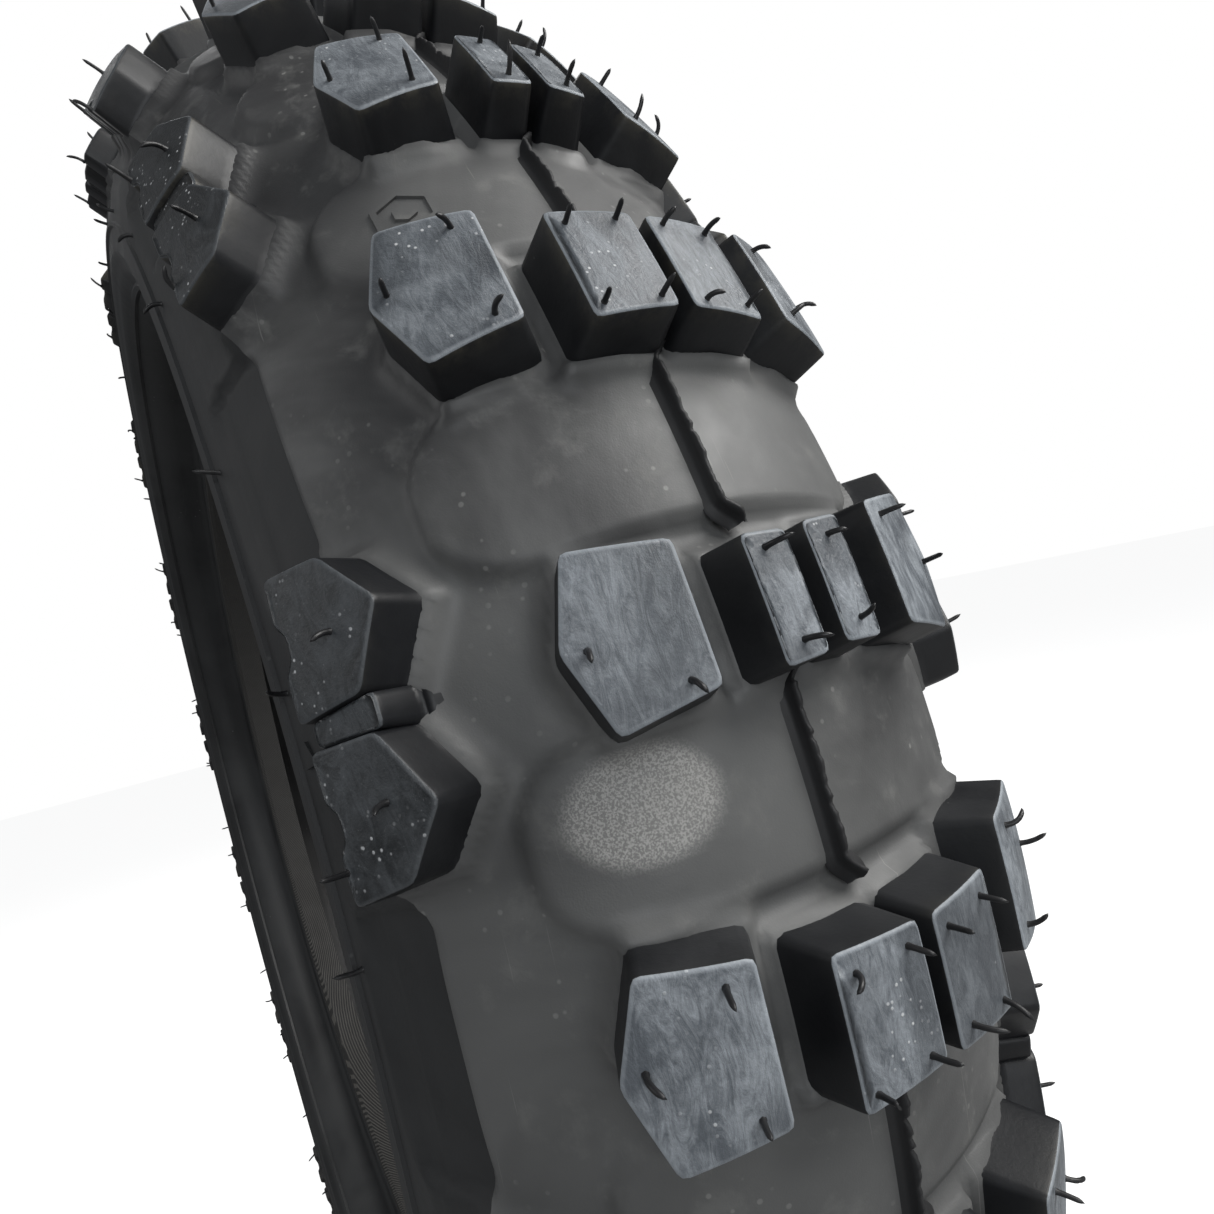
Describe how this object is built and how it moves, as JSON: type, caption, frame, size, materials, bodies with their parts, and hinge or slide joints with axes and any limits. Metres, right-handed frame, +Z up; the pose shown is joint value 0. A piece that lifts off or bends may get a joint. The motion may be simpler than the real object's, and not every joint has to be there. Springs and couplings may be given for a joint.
{
  "type": "off-road motorcycle tyre",
  "caption": "Off-road motorcycle tyre with alternating rows of tall tread knobs, paired shoulder knobs, layered carcass and wire beads.",
  "frame": {"origin": "wheel centre", "axes": "+Y along the axle, +Z up, a wide-centred knob row at the bottom"},
  "size_m": [0.68, 0.1472, 0.68],
  "materials": {
    "knob_rubber": "satin",
    "tread_rubber": "matte",
    "sidewall_rubber": "satin",
    "bead_rubber": "matte",
    "liner_rubber": "satin",
    "cord_fabric": "matte",
    "chafer_fabric": "matte",
    "bead_wire": "satin"
  },
  "bodies": {
    "root": {"tread_base": "tread_rubber", "tread_pads": "tread_rubber", "parting_line_fin": "tread_rubber", "emblem": "tread_rubber", "breaker_ply": "cord_fabric", "carcass_ply_outer": "cord_fabric", "carcass_ply_inner": "cord_fabric", "inner_liner": "liner_rubber", "centre_wide_left": "knob_rubber", "centre_narrow_left": "knob_rubber", "pentagon_outer_left": "knob_rubber", "pentagon_inner_left": "knob_rubber", "shoulder_knobs_left": "knob_rubber", "shoulder_tie_bars_left": "knob_rubber", "sidewall_left": "sidewall_rubber", "rim_line_rib_left": "sidewall_rubber", "sidewall_rib_left": "sidewall_rubber", "wear_marks_left": "sidewall_rubber", "bead_bundle_left": "bead_wire", "bead_filler_left": "bead_rubber", "chafer_left": "chafer_fabric", "centre_wide_right": "knob_rubber", "centre_narrow_right": "knob_rubber", "pentagon_outer_right": "knob_rubber", "pentagon_inner_right": "knob_rubber", "shoulder_knobs_right": "knob_rubber", "shoulder_tie_bars_right": "knob_rubber", "sidewall_right": "sidewall_rubber", "rim_line_rib_right": "sidewall_rubber", "sidewall_rib_right": "sidewall_rubber", "wear_marks_right": "sidewall_rubber", "bead_bundle_right": "bead_wire", "bead_filler_right": "bead_rubber", "chafer_right": "chafer_fabric"}
  },
  "joints": []
}
